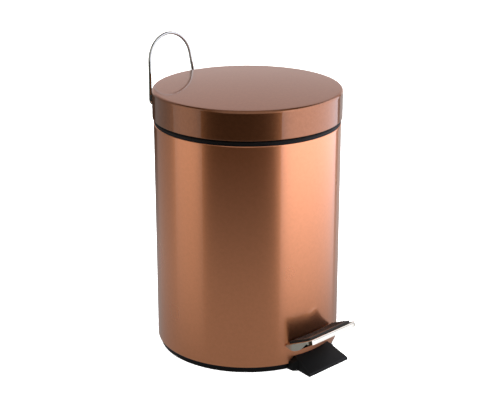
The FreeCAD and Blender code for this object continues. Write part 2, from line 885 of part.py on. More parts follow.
# ---- carry handle ----------------------------------------------------------------------
def make_carry_handle():
    """Loop of two legs that draw in towards one round arch, with its ends turned inwards."""
    half = handle_half_width
    centre = handle_reach - handle_top_radius
    across = math.hypot(half, centre)
    splay = math.atan2(half, centre) - math.asin(handle_top_radius / across)
    meet_x = -handle_top_radius * math.cos(splay)
    meet_z = centre + handle_top_radius * math.sin(splay)

    def at(x, z):
        return V(x, handle_y, handle_z + z)

    tail = at(-housing_half_width + handle_tail, 0.0)
    corner = at(-half, 0.0)
    meet = at(meet_x, meet_z)
    bend_start, bend_arc, bend_end = bend(tail, corner, meet, handle_bend)
    left = [line(tail, bend_start), bend_arc, line(bend_end, meet)]
    right = [edge.mirror(at(0.0, 0.0), ALONG_X) for edge in left]
    top = Part.Arc(meet, at(0.0, handle_reach), at(-meet_x, meet_z)).toShape()
    handle = wire_sweep(left + [top] + right, handle_wire)
    return handle.rotate(V(0, handle_y, handle_z), ALONG_X, -handle_lean_deg)


def make_handle_bushes():
    def bush():
        bore_radius = handle_wire + running_gap
        face = housing_half_width
        body = cross_pin(bore_radius + bush_wall, face - bush_depth, face, handle_y, handle_z)
        flange = cross_pin(bore_radius + bush_wall + bush_flange, face,
                           face + bush_flange_thick, handle_y, handle_z)
        return body.fuse(flange).removeSplitter().cut(
            cross_pin(bore_radius, 0.0, TALL, handle_y, handle_z))
    return Part.makeCompound(both_sides(bush))


# ---- inner bucket ----------------------------------------------------------------------
def bail_pivot_z():
    return bucket_top - bail_drop


def make_inner_bucket():
    bucket = turned([
        (0.0, bucket_bottom),
        (bucket_bottom_radius, bucket_bottom),
        (bucket_top_radius, ledge_top),
        (bucket_rim_radius, ledge_top),
        (bucket_rim_radius, bucket_top),
        (bucket_mouth, bucket_top),
        (bucket_mouth, ledge_top),
        (bucket_bottom_radius - bucket_wall, bucket_bottom + bucket_floor),
        (0.0, bucket_bottom + bucket_floor),
    ])
    hole = cross_pin(bail_wire + 2 * running_gap, -TALL / 4, TALL / 4, 0.0, bail_pivot_z())
    return bucket.cut(hole)


def make_bucket_bail():
    inner = bucket_mouth - bail_wire - bail_wall_gap
    pivot = bail_pivot_z()
    lying = bucket_top + bail_wire + bail_rest_gap
    crest = (bucket_mouth + bucket_rim_radius) / 2
    tail = V(-inner - bail_tail - bail_wire, 0, pivot)
    low_corner = V(-inner, 0, pivot)
    top_corner = V(-inner, 0, lying)
    turn = Part.Arc(V(-inner, -bail_bend, lying), V(0, -crest, lying), V(inner, -bail_bend, lying))
    first, foot_arc, second = bend(tail, low_corner, top_corner, bail_foot_bend)
    third, knee_arc, fourth = bend(low_corner, top_corner, V(-inner, -2 * bail_bend, lying), bail_bend)
    left = [line(tail, first), foot_arc, line(second, third), knee_arc]
    right = [edge.mirror(V(0, 0, 0), ALONG_X) for edge in left]
    return wire_sweep(left + [turn.toShape()] + right, bail_wire)


# ---- export ----------------------------------------------------------------------------
PIECES = {
    "body_shell": make_body_shell,
    "body_top_ring": make_top_ring,
    "base_pan": make_base_pan,
    "front_foot": make_front_foot,
    "foot_screws": make_foot_screws,
    "pedal_plate": make_pedal_plate,
    "pedal_tread": make_pedal_tread,
    "pedal_lever": make_pedal_lever,
    "pedal_rivets": make_pedal_rivets,
    "pivot_pin": make_pivot_pin,
    "pivot_clips": make_pivot_clips,
    "lift_rod": make_lift_rod,
    "rod_shoe": make_rod_shoe,
    "rod_tip": make_rod_tip,
    "rod_guides": make_rod_guides,
    "lid_shell": make_lid_shell,
    "lid_arm": make_lid_arm,
    "hinge_housing": make_hinge_housing,
    "hinge_backing_plate": make_backing_plate,
    "housing_screws": make_housing_screws,
    "hinge_pin": make_hinge_pin,
    "hinge_clip": make_hinge_clip,
    "carry_handle": make_carry_handle,
    "handle_bushes": make_handle_bushes,
    "inner_bucket": make_inner_bucket,
    "bucket_bail": make_bucket_bail,
}

os.makedirs("parts", exist_ok=True)
for name, make in PIECES.items():
    shape = make()
    shape.exportStep(f"parts/{name}.step")
    print(name, "solids", len(shape.Solids), "valid", shape.isValid(), "volume", round(shape.Volume, 1))
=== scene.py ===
import json
import math

import bmesh
import bpy
from mathutils import Matrix, Vector


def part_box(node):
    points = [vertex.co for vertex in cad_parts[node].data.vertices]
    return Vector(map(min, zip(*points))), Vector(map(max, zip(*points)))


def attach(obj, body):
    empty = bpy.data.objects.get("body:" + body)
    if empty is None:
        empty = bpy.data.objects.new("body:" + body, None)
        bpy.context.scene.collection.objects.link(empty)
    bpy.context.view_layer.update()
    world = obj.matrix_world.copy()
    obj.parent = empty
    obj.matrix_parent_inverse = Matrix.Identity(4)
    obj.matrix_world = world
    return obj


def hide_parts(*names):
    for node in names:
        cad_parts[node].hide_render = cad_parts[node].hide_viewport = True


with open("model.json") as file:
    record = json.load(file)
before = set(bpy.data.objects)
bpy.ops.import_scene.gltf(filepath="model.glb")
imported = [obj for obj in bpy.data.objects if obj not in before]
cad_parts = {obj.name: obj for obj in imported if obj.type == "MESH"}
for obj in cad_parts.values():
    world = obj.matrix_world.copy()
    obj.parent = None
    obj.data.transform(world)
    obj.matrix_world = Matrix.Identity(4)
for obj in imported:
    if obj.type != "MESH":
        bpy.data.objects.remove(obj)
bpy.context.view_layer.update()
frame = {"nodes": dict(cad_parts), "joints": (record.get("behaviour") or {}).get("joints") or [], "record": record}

MM = 0.001
LATHE_STEPS = 256
SHARP_ANGLE = math.radians(38)

# ---- places taken from the CAD frame ----------------------------------------------------
shell_low, shell_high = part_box("body_shell")
lid_low, lid_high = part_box("lid_shell")
ring_low, ring_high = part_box("body_top_ring")
foot_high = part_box("front_foot")[1]
plate_low, plate_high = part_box("pedal_plate")
tread_low, tread_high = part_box("pedal_tread")
wire_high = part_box("carry_handle")[1]
lever_low, lever_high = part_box("pedal_lever")
JOINTS = {joint["name"]: joint for joint in frame["joints"]}

BODY_RADIUS = (shell_high.x - shell_low.x) / 2
LID_RADIUS = (lid_high.x - lid_low.x) / 2
RING_RADIUS = (ring_high.x - ring_low.x) / 2
SHEET = 0.6 * MM


# ---- mesh helpers -----------------------------------------------------------------------
def arc(centre_r, centre_z, radius, start_deg, end_deg, steps):
    """Points (r, z) along an arc, both ends included."""
    points = []
    for step in range(steps + 1):
        angle = math.radians(start_deg + (end_deg - start_deg) * step / steps)
        points.append((centre_r + radius * math.cos(angle), centre_z + radius * math.sin(angle)))
    return points


def new_piece(name, bm, material, body, sharp=SHARP_ANGLE):
    """Links a bmesh as a smooth-shaded piece that rides on a body."""
    bmesh.ops.recalc_face_normals(bm, faces=bm.faces)
    for face in bm.faces:
        face.smooth = True
    for edge in bm.edges:
        flat = len(edge.link_faces) == 2 and edge.calc_face_angle(0.0) < sharp
        edge.smooth = flat
    mesh = bpy.data.meshes.new(name)
    bm.to_mesh(mesh)
    bm.free()
    piece = bpy.data.objects.new(name, mesh)
    bpy.context.collection.objects.link(piece)
    if material:
        mesh.materials.append(material)
    if body:
        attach(piece, body)
    return piece


def lathe(profile, steps=LATHE_STEPS):
    """Closed ring of revolution about the vertical axis from a closed (r, z) outline."""
    bm = bmesh.new()
    columns = []
    for step in range(steps):
        angle = 2 * math.pi * step / steps
        columns.append([bm.verts.new((r * math.cos(angle), r * math.sin(angle), z)) for r, z in profile])
    count = len(profile)
    for step in range(steps):
        here, there = columns[step], columns[(step + 1) % steps]
        for n in range(count):
            after = (n + 1) % count
            bm.faces.new((here[n], there[n], there[after], here[after]))
    bmesh.ops.remove_doubles(bm, verts=bm.verts, dist=1e-7)
    return bm


def prism(outline, low, high, place):
    """Solid between two copies of an outline. place turns (u, v, w) into x, y, z."""
    bm = bmesh.new()
    ends = [[bm.verts.new(place(u, v, w)) for u, v in outline] for w in (low, high)]
    for end in ends:
        bm.faces.new(end)
    count = len(outline)
    for n in range(count):
        after = (n + 1) % count
        bm.faces.new((ends[0][n], ends[0][after], ends[1][after], ends[1][n]))
    bmesh.ops.recalc_face_normals(bm, faces=bm.faces)
    return bm


def subtract(piece, cutter_bm):
    """Cuts a closed solid out of a piece and keeps the result as its mesh."""
    mesh = bpy.data.meshes.new("cutter")
    cutter_bm.to_mesh(mesh)
    cutter_bm.free()
    cutter = bpy.data.objects.new("cutter", mesh)
    bpy.context.collection.objects.link(cutter)
    step = piece.modifiers.new("cut", "BOOLEAN")
    step.operation, step.solver, step.object = "DIFFERENCE", "EXACT", cutter
    apply_modifiers(piece)
    bpy.data.objects.remove(cutter)


def apply_modifiers(piece):
    graph = bpy.context.evaluated_depsgraph_get()
    mesh = bpy.data.meshes.new_from_object(piece.evaluated_get(graph), depsgraph=graph)
    piece.modifiers.clear()
    piece.data = mesh


def tube(points, radius, sides=24):
    """Round wire through points, with flat ends."""
    bm = bmesh.new()
    rings = []
    side = Vector((0, 1, 0))
    for n, point in enumerate(points):
        before, after = points[max(n - 1, 0)], points[min(n + 1, len(points) - 1)]
        along = (after - before).normalized()
        side = (side - along * side.dot(along)).normalized()
        up = along.cross(side)
        ring = []
        for step in range(sides):
            angle = 2 * math.pi * step / sides
            offset = side * math.cos(angle) + up * math.sin(angle)
            ring.append(bm.verts.new(point + offset * radius))
        rings.append(ring)
    for here, there in zip(rings, rings[1:]):
        for n in range(sides):
            after = (n + 1) % sides
            bm.faces.new((here[n], here[after], there[after], there[n]))
    bm.faces.new(rings[0])
    bm.faces.new(rings[-1])
    return bm


# ---- material helpers -------------------------------------------------------------------
class Nodes:
    """A new material with a Principled shader and short calls to add nodes to it."""

    def __init__(self, name):
        self.material = bpy.data.materials.new(name)
        self.material.use_nodes = True
        self.tree = self.material.node_tree
        self.shader = self.tree.nodes["Principled BSDF"]
        self.coords = self.tree.nodes.new("ShaderNodeTexCoord").outputs["Object"]

    def set(self, **values):
        for name, value in values.items():
            self.shader.inputs[name.replace("_", " ")].default_value = value

    def link(self, source, target):
        self.tree.links.new(source, target)

    def scaled(self, x, y, z, turn=(0.0, 0.0, 0.0)):
        """Object coordinates stretched by a factor along each axis, then turned."""
        mapping = self.tree.nodes.new("ShaderNodeMapping")
        mapping.inputs["Scale"].default_value = (x, y, z)
        mapping.inputs["Rotation"].default_value = turn
        self.link(self.coords, mapping.inputs["Vector"])
        return mapping.outputs["Vector"]

    def noise(self, scale, detail=4.0, rough=0.55, vector=None):
        node = self.tree.nodes.new("ShaderNodeTexNoise")
        node.inputs["Scale"].default_value = scale
        node.inputs["Detail"].default_value = detail
        node.inputs["Roughness"].default_value = rough
        self.link(vector or self.coords, node.inputs["Vector"])
        return node.outputs["Fac"]

    def spread(self, source, low, high, start=0.3, end=0.7):
        """Maps a factor from start..end to low..high."""
        node = self.tree.nodes.new("ShaderNodeMapRange")
        for name, value in (("From Min", start), ("From Max", end), ("To Min", low), ("To Max", high)):
            node.inputs[name].default_value = value
        self.link(source, node.inputs["Value"])
        return node.outputs["Result"]

    def blend(self, factor, low, high):
        """Colour between two colours by a factor."""
        node = self.tree.nodes.new("ShaderNodeMix")
        node.data_type = "RGBA"
        node.inputs[6].default_value = (*low, 1.0)
        node.inputs[7].default_value = (*high, 1.0)
        self.link(factor, node.inputs["Factor"])
        return node.outputs[2]

    def bump(self, height, strength, distance, normal=None):
        node = self.tree.nodes.new("ShaderNodeBump")
        node.inputs["Strength"].default_value = strength
        node.inputs["Distance"].default_value = distance
        self.link(height, node.inputs["Height"])
        if normal:
            self.link(normal, node.inputs["Normal"])
        return node.outputs["Normal"]


def copper_lacquer(name, low, high, rough_low, rough_high):
    """Metallic copper lacquer: satin metal under a clear, sharp coat."""
    m = Nodes(name)
    m.set(Metallic=1.0, Coat_Weight=1.0, Coat_Roughness=0.04, Coat_IOR=1.5)
    cloud = m.noise(11.0, 3.0, 0.5)
    fleck = m.noise(340.0, 4.0, 0.75, m.scaled(1.0, 1.0, 1.0, (0.61, 0.37, 0.23)))
    colour = m.blend(m.spread(fleck, 0.0, 1.0), low, high)
    m.link(colour, m.shader.inputs["Base Color"])
    m.link(m.spread(cloud, rough_low, rough_high, 0.0, 1.0), m.shader.inputs["Roughness"])
    return m.material


def chrome(name, low, high):
    m = Nodes(name)
    m.set(Metallic=1.0)
    smear = m.noise(90.0, 4.0, 0.6)
    pits = m.noise(1300.0, 2.0, 0.5)
    colour = m.blend(m.spread(smear, 0.0, 1.0), low, high)
    m.link(colour, m.shader.inputs["Base Color"])
    m.link(m.spread(smear, 0.03, 0.09), m.shader.inputs["Roughness"])
    m.link(m.bump(pits, 0.02, 0.03 * MM), m.shader.inputs["Normal"])
    return m.material


def black_plastic(name, low, high):
    """Moulded plastic with a fine spark-eroded texture."""
    m = Nodes(name)
    m.set(IOR=1.33)
    grain = m.noise(900.0, 3.0, 0.65)
    cloud = m.noise(35.0, 4.0, 0.6)
    colour = m.blend(m.spread(cloud, 0.0, 1.0), low, high)
    m.link(colour, m.shader.inputs["Base Color"])
    m.link(m.spread(cloud, 0.42, 0.55), m.shader.inputs["Roughness"])
    m.link(m.bump(grain, 0.25, 0.06 * MM), m.shader.inputs["Normal"])
    return m.material


def black_rubber():
    m = Nodes("black_rubber")
    m.set(IOR=1.46)
    dust = m.noise(160.0, 5.0, 0.65)
    grain = m.noise(1500.0, 2.0, 0.6)
    colour = m.blend(m.spread(dust, 0.0, 1.0), (0.004, 0.0038, 0.0034), (0.008, 0.0075, 0.0068))
    m.link(colour, m.shader.inputs["Base Color"])
    m.link(m.spread(dust, 0.38, 0.50), m.shader.inputs["Roughness"])
    m.link(m.bump(grain, 0.2, 0.05 * MM), m.shader.inputs["Normal"])
    return m.material


def zinc_steel():
    m = Nodes("zinc_steel")
    m.set(Metallic=1.0)
    stain = m.noise(45.0, 5.0, 0.65)
    lines = m.noise(260.0, 3.0, 0.6, m.scaled(1.0, 0.1, 1.0))
    colour = m.blend(m.spread(stain, 0.0, 1.0), (0.50, 0.51, 0.52), (0.66, 0.66, 0.64))
    m.link(colour, m.shader.inputs["Base Color"])
    m.link(m.spread(lines, 0.26, 0.40), m.shader.inputs["Roughness"])
    m.link(m.bump(lines, 0.12, 0.05 * MM), m.shader.inputs["Normal"])
    return m.material


def floor_paint():
    m = Nodes("floor_paint")
    speck = m.noise(3.0, 3.0, 0.5)
    colour = m.blend(m.spread(speck, 0.0, 1.0), (0.90, 0.90, 0.90), (0.92, 0.92, 0.92))
    m.link(colour, m.shader.inputs["Base Color"])
    m.set(Roughness=0.8, Specular_IOR_Level=0.1)
    m.set(Emission_Color=(1.0, 1.0, 1.0, 1.0), Emission_Strength=0.72)
    return m.material


MATERIALS = {
    "copper_lacquer": copper_lacquer(
        "copper_lacquer", (0.87, 0.334, 0.148), (0.94, 0.365, 0.168), 0.26, 0.30),
    # Same copper lacquer painted much darker for the lid, a painted shade; its roughness is slightly higher.
    "copper_lacquer_lid_painted_shade": copper_lacquer(
        "copper_lacquer_lid_painted_shade", (0.33, 0.123, 0.049), (0.39, 0.149, 0.062), 0.30, 0.34),
    # Two copies of one chrome: the one named chrome is painted brighter and warmer, a painted highlight, and goes
    # on the pedal and the CAD chrome parts; chrome_wire is the plain, darker chrome of the handle wire.
    "chrome": chrome("chrome", (0.70, 0.67, 0.57), (0.77, 0.74, 0.64)),
    "chrome_wire": chrome("chrome_wire", (0.52, 0.53, 0.50), (0.60, 0.61, 0.58)),
    "black_plastic": black_plastic(
        "black_plastic", (0.0006, 0.0006, 0.0007), (0.0013, 0.0013, 0.0014)),
    # Lighter copy of the black plastic, painted light on the back and inner parts; same roughness and grain.
    "black_plastic_back_painted_light": black_plastic(
        "black_plastic_back_painted_light", (0.009, 0.009, 0.0095), (0.015, 0.015, 0.0155)),
    "black_rubber": black_rubber(),
    "zinc_steel": zinc_steel(),
}


# ---- camera, floor and lights -----------------------------------------------------------
CAMERA_DISTANCE = 1.1415
CAMERA_HEIGHT = 0.5259
CAMERA_PITCH = math.radians(19.3)
CAMERA_AZIMUTH = math.radians(-45.0)
CAMERA_LENS = 95.93


def around(azimuth_deg, distance, height):
    """Point at an azimuth measured from the camera's side, positive to the picture's right."""
    angle = CAMERA_AZIMUTH + math.radians(azimuth_deg)
    return Vector((math.sin(angle) * distance, -math.cos(angle) * distance, height))


def make_camera():
    data = bpy.data.cameras.new("camera")
    data.lens = CAMERA_LENS
    data.clip_start, data.clip_end = 0.05, 50.0
    camera = bpy.data.objects.new("camera", data)
    camera.location = around(0.0, CAMERA_DISTANCE, CAMERA_HEIGHT)
    camera.rotation_euler = (math.pi / 2 - CAMERA_PITCH, 0.0, CAMERA_AZIMUTH)
    bpy.context.collection.objects.link(camera)
    bpy.context.scene.camera = camera


def stage_piece(name, vertices, faces, material):
    """Part of the set: seen by the camera, never in the object's reflections."""
    mesh = bpy.data.meshes.new(name)
    mesh.from_pydata(vertices, [], faces)
    mesh.materials.append(material)
    piece = bpy.data.objects.new(name, mesh)
    bpy.context.collection.objects.link(piece)
    piece.visible_glossy = False
    piece.visible_shadow = False
    piece.visible_diffuse = False
    return piece


def make_floor():
    """Pale floor with a pale wall all round it."""
    half, tall = 9.0, 8.0
    low = [(-half, -half, 0), (half, -half, 0), (half, half, 0), (-half, half, 0)]
    high = [(x, y, tall) for x, y, _ in low]
    paint = floor_paint()
    stage_piece("floor", low, [(0, 1, 2, 3)], paint)
    sides = [(n, (n + 1) % 4, (n + 1) % 4 + 4, n + 4) for n in range(4)]
    stage_piece("wall", low + high, sides, paint)


def panel(name, azimuth_deg, distance, height, width, tall, radiance, colour=(1, 1, 1)):
    """Flat soft light that faces the object. Radiance 1 looks white in a perfect mirror."""
    data = bpy.data.lights.new(name, "AREA")
    data.shape = "RECTANGLE"
    data.size, data.size_y = width, tall
    data.energy = radiance * math.pi * width * tall
    data.color = colour
    light = bpy.data.objects.new(name, data)
    light.location = around(azimuth_deg, distance, height)
    aim = Vector((0, 0, 0.12)) - light.location
    light.rotation_euler = aim.to_track_quat("-Z", "Y").to_euler()
    bpy.context.collection.objects.link(light)
    return light


def make_table_glow():
    """Glowing card that the lacquer sees in place of the pale table top, a painted reflection of it: bright by the
    object, gone further out, with a painted contact shadow dimming it right at the base.
    """
    material = bpy.data.materials.new("table_glow")
    material.use_nodes = True
    tree = material.node_tree
    tree.nodes.clear()
    coords = tree.nodes.new("ShaderNodeTexCoord")
    length = tree.nodes.new("ShaderNodeVectorMath")
    length.operation = "LENGTH"
    fade = tree.nodes.new("ShaderNodeMapRange")
    for name, value in (("From Min", 0.10), ("From Max", 0.74), ("To Min", 1.0), ("To Max", 0.0)):
        fade.inputs[name].default_value = value
    clear = tree.nodes.new("ShaderNodeBsdfTransparent")
    glow = tree.nodes.new("ShaderNodeEmission")
    # Painted contact shadow: the glow is dimmed right by the object's base.
    painted_contact_shadow = tree.nodes.new("ShaderNodeMapRange")
    for name, value in (("From Min", 0.08), ("From Max", 0.28), ("To Min", 0.26), ("To Max", 0.37)):
        painted_contact_shadow.inputs[name].default_value = value
    mix = tree.nodes.new("ShaderNodeMixShader")
    output = tree.nodes.new("ShaderNodeOutputMaterial")
    tree.links.new(coords.outputs["Object"], length.inputs[0])
    tree.links.new(length.outputs["Value"], fade.inputs["Value"])
    tree.links.new(length.outputs["Value"], painted_contact_shadow.inputs["Value"])
    tree.links.new(painted_contact_shadow.outputs["Result"], glow.inputs["Strength"])
    tree.links.new(fade.outputs["Result"], mix.inputs["Fac"])
    tree.links.new(clear.outputs["BSDF"], mix.inputs[1])
    tree.links.new(glow.outputs["Emission"], mix.inputs[2])
    tree.links.new(mix.outputs["Shader"], output.inputs["Surface"])
    half = 0.75
    mesh = bpy.data.meshes.new("table_glow")
    corners = [(-half, -half, 0), (half, -half, 0), (half, half, 0), (-half, half, 0)]
    mesh.from_pydata(corners, [], [(0, 1, 2, 3)])
    mesh.materials.append(material)
    card = bpy.data.objects.new("table_glow", mesh)
    card.location = (0, 0, -2 * MM)
    bpy.context.collection.objects.link(card)
    card.visible_camera = False
    card.visible_diffuse = False
    card.visible_shadow = False


def make_lights():
    panel("key_right", 88.0, 1.5, 0.10, 3.3, 3.6, 1.5, (0.98, 1.0, 1.14))
    panel("rim_right", 160.0, 1.9, -0.55, 1.1, 1.9, 0.5)
    panel("front_top", 10.0, 1.4, 1.3, 3.2, 2.0, 0.42)
    panel("fill_left", -76.0, 1.6, 0.10, 1.2, 3.6, 0.62)
    panel("fill_left_far", -120.0, 1.7, 0.10, 1.5, 3.6, 0.22)
    panel("back_wall", 180.0, 2.2, 0.9, 3.4, 2.4, 0.62, (1.0, 0.82, 0.78))
    panel("ceiling", 0.0, 0.01, 2.4, 1.8, 1.8, 0.4)
    flood = panel("flood", 0.0, 0.01, 3.2, 6.0, 6.0, 3.0)
    flood.visible_glossy = False
    make_table_glow()
    world = bpy.data.worlds.new("world")
    world.use_nodes = True
    world.node_tree.nodes["Background"].inputs["Color"].default_value = (1, 0.68, 0.45, 1)
    world.node_tree.nodes["Background"].inputs["Strength"].default_value = 0.036
    bpy.context.scene.world = world
    bpy.context.scene.view_settings.view_transform = "Standard"


make_camera()
make_floor()
make_lights()


# ---- body shell and lid -----------------------------------------------------------------
EDGE_ROLL = 1.0 * MM
EDGE_LIP = 2.1 * MM
SUPPORT = 0.6 * MM
SLOT_HALF_WIDTH = (lever_high.x - lever_low.x) / 2 + 1.5 * MM
SLOT_LOW = 16.95 * MM
SLOT_HIGH = 27.5 * MM
NOTCH_CORNER_RUN = 5.5 * MM
NOTCH_CORNER_DROP = 5.0 * MM
LID_ROLL = 2.75 * MM
LID_CROWN = 3.0 * MM
HEM_WIDTH = 2.6 * MM
HEM_HEIGHT = 1.2 * MM
LID_NOTCH_HALF_WIDTH = 17.2 * MM


def along_y(x, z, y):
    return (x, y, z)


def box_cutter(x_half, y_low, y_high, z_low, z_high):
    outline = [(-x_half, z_low), (x_half, z_low), (x_half, z_high), (-x_half, z_high)]
    return prism(outline, y_low, y_high, along_y)


def make_body_shell():
    low, high, outer = shell_low.z, shell_high.z, BODY_RADIUS
    lip, inner = outer - EDGE_LIP, outer - SHEET
    profile = [(lip, low)]
    profile += arc(outer - EDGE_ROLL, low + EDGE_ROLL, EDGE_ROLL, -90, 0, 6)
    profile += [(outer, low + EDGE_ROLL + SUPPORT), (outer, high - EDGE_ROLL - SUPPORT)]
    profile += arc(outer - EDGE_ROLL, high - EDGE_ROLL, EDGE_ROLL, 0, 90, 6)
    profile += [(lip, high), (lip, high - SHEET), (inner, high - SHEET)]
    profile += [(inner, low + SHEET), (lip, low + SHEET)]
    shell = new_piece("body_shell_skin", lathe(profile), MATERIALS["copper_lacquer"], None)
    front = -outer - 5 * MM
    behind = -outer + 12 * MM
    subtract(shell, box_cutter(SLOT_HALF_WIDTH, front, behind, SLOT_LOW, SLOT_HIGH))
    half = foot_high.x + 0.6 * MM
    top = foot_high.z + 0.3 * MM
    outline = [
        (-half, low - 5 * MM),
        (-half, top - NOTCH_CORNER_DROP),
        (-half + NOTCH_CORNER_RUN, top),
        (half - NOTCH_CORNER_RUN, top),
        (half, top - NOTCH_CORNER_DROP),
        (half, low - 5 * MM),
    ]
    subtract(shell, prism(outline, front, behind, along_y))
    return shell


def make_lid():
    low, outer = lid_low.z, LID_RADIUS
    rim = lid_high.z - LID_CROWN
    hem_edge = SHEET * 0.9
    shoulder = outer - LID_ROLL

    def crown(inset):
        """Crown from the shoulder to the middle, moved down by inset."""
        steps = 16
        edge = shoulder + LID_ROLL * 0.07
        radii = [edge * (1 - step / steps) for step in range(1, steps + 1)]
        return [(r, rim + LID_CROWN * (1 - (r / shoulder) ** 2) - inset) for r in radii]

    profile = arc(outer - hem_edge, low + hem_edge, hem_edge, -90, 0, 6)
    profile += [(outer, low + hem_edge + SUPPORT), (outer, rim - LID_ROLL - SUPPORT)]
    profile += arc(shoulder, rim - LID_ROLL, LID_ROLL, 0, 86, 12)
    profile += crown(0.0)
    profile += list(reversed(crown(SHEET)))
    profile += arc(shoulder, rim - LID_ROLL, LID_ROLL - SHEET, 86, 0, 8)
    profile += [(outer - SHEET, low + HEM_HEIGHT), (outer - HEM_WIDTH, low + HEM_HEIGHT)]
    profile += [(outer - HEM_WIDTH, low)]
    # The lid wears the darker copy of the copper lacquer, painted shade.
    lid = new_piece("lid_skin", lathe(profile), MATERIALS["copper_lacquer_lid_painted_shade"], None)
    rear = outer - 15 * MM
    subtract(lid, box_cutter(LID_NOTCH_HALF_WIDTH, rear, outer + 5 * MM, low - 5 * MM, rim - LID_ROLL))
    return lid


def settle(piece, body, slot, *nodes):
    """Rides a finished piece on its body and lets it stand for its CAD nodes."""
    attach(piece, body)
    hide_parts(*nodes)


settle(make_body_shell(), "bin", "copper_lacquer", "body_shell")
settle(make_lid(), "lid", "copper_lacquer", "lid_shell")


# ---- pedal ------------------------------------------------------------------------------
PEDAL_SLOPE = math.radians(24.0)
PEDAL_PLATE_Z = 27.8 * MM
PEDAL_SHEET = 1.2 * MM
PEDAL_BEND = 0.9 * MM
PEDAL_LIP_LOW = 33.9 * MM
PEDAL_CORNER = 4.5 * MM
PEDAL_LIP_FLARE = 1.0 * MM
PEDAL_WALL_RADIUS = BODY_RADIUS + 1.0 * MM
FLANGE_DEEPEST = 22.0 * MM
TREAD_THICK = 2.0 * MM
TREAD_EDGE = 0.5 * MM
TREAD_CORNER = 2.5 * MM
TREAD_WALL_RADIUS = BODY_RADIUS + 1.6 * MM
PIP_PITCH_X = 2.1 * MM
PIP_PITCH_Y = 1.75 * MM
PIP_RADIUS = 0.62 * MM
PIP_HEIGHT = 0.60 * MM
PIP_ROWS = 14
PIP_SINK = 0.05 * MM
PIP_SIDE_GAP = 1.4 * MM
PIP_WALL_GAP = 1.0 * MM
FRONT_BAND = 4.6 * MM


def plate_top(y):
    """Height of the pedal plate's upper face at a place y in front of the axis."""
    return PEDAL_PLATE_Z + (-y - BODY_RADIUS) * math.tan(PEDAL_SLOPE)


FLANGE_CURVE = ((-5.0, 1.5), (-2.0, 0.5), (3.0, 0.0), (6.5, 1.0), (10.0, 2.7), (13.5, 5.0))


def flange_low(y):
    """Lower edge of the pedal's flange: deepest near the wall, rising to the front lip."""
    ahead = (-y - BODY_RADIUS) / MM
    points = FLANGE_CURVE + ((19.5, (PEDAL_LIP_LOW - FLANGE_DEEPEST) / MM),)
    for (painted_contact_shadow, low), (far, high) in zip(points, points[1:]):
        if ahead <= far:
            share = max(0.0, (ahead - painted_contact_shadow) / (far - painted_contact_shadow))
            return FLANGE_DEEPEST + (low + (high - low) * share) * MM
    return PEDAL_LIP_LOW


def pedal_outline(half, front, corner, rear_radius, side_steps):
    """Plan points with outward normals: up one side, round the front, down the other."""
    rear = -math.sqrt(rear_radius ** 2 - half ** 2)
    points = []
    for step in range(side_steps):
        y = rear + (front + corner - rear) * step / side_steps
        points.append((Vector((-half, y)), Vector((-1, 0))))
    for step in range(9):
        angle = math.pi + math.pi / 2 * step / 8
        normal = Vector((math.cos(angle), math.sin(angle)))
        points.append((Vector((-half + corner, front + corner)) + normal * corner, normal))
    front_steps = 12
    for step in range(1, front_steps):
        x = (-half + corner) * (1 - 2 * step / front_steps)
        points.append((Vector((x, front)), Vector((0, -1))))
    mirrored = [(Vector((-p.x, p.y)), Vector((-n.x, n.y))) for p, n in points[:side_steps + 9]]
    return points + list(reversed(mirrored))


def rear_points(half, radius, height, steps=14):
    """Rear edge of the pedal along the wall, from +X to -X, without its ends."""
    points = []
    reach = math.asin(half / radius)
    for step in range(1, steps):
        angle = reach * (1 - 2 * step / steps)
        x, y = math.sin(angle) * radius, -math.cos(angle) * radius
        points.append((x, y, height(y)))
    return points


def make_pedal_plate():
    half = plate_high.x
    outline = pedal_outline(half, plate_low.y, PEDAL_CORNER, PEDAL_WALL_RADIUS, 14)
    bm = bmesh.new()
    rings = []
    bend_steps = 6
    for step in range(bend_steps + 1):
        angle = math.pi / 2 * step / bend_steps
        inward = PEDAL_BEND * (1 - math.sin(angle))
        drop = PEDAL_BEND * (1 - math.cos(angle))
        ring = []
        for point, normal in outline:
            spot = point - normal * inward
            ring.append(bm.verts.new((spot.x, spot.y, plate_top(spot.y) - drop)))
        rings.append(ring)
    for share in (0.25, 0.5, 0.75, 1.0):
        ring = []
        for point, normal in outline:
            top = plate_top(point.y) - PEDAL_BEND
            spot = point + normal * max(0.0, -normal.y) * PEDAL_LIP_FLARE * share
            ring.append(bm.verts.new((spot.x, spot.y, top + (flange_low(point.y) - top) * share)))
        rings.append(ring)
    for here, there in zip(rings, rings[1:]):
        for n in range(len(outline) - 1):
            bm.faces.new((here[n], here[n + 1], there[n + 1], there[n]))
    inner_half = half - PEDAL_BEND
    rear = [bm.verts.new(p) for p in rear_points(inner_half, PEDAL_WALL_RADIUS, plate_top)]
    bm.faces.new(rings[0] + rear)
    plate = new_piece("pedal_pressing", bm, MATERIALS["chrome"], None)
    solid = plate.modifiers.new("sheet", "SOLIDIFY")
    solid.thickness = PEDAL_SHEET
    solid.offset = -1.0
    bevel = plate.modifiers.new("edge", "BEVEL")
    bevel.width, bevel.segments, bevel.limit_method = 0.25 * MM, 3, "ANGLE"
    bevel.angle_limit = math.radians(50)
    apply_modifiers(plate)
    return plate


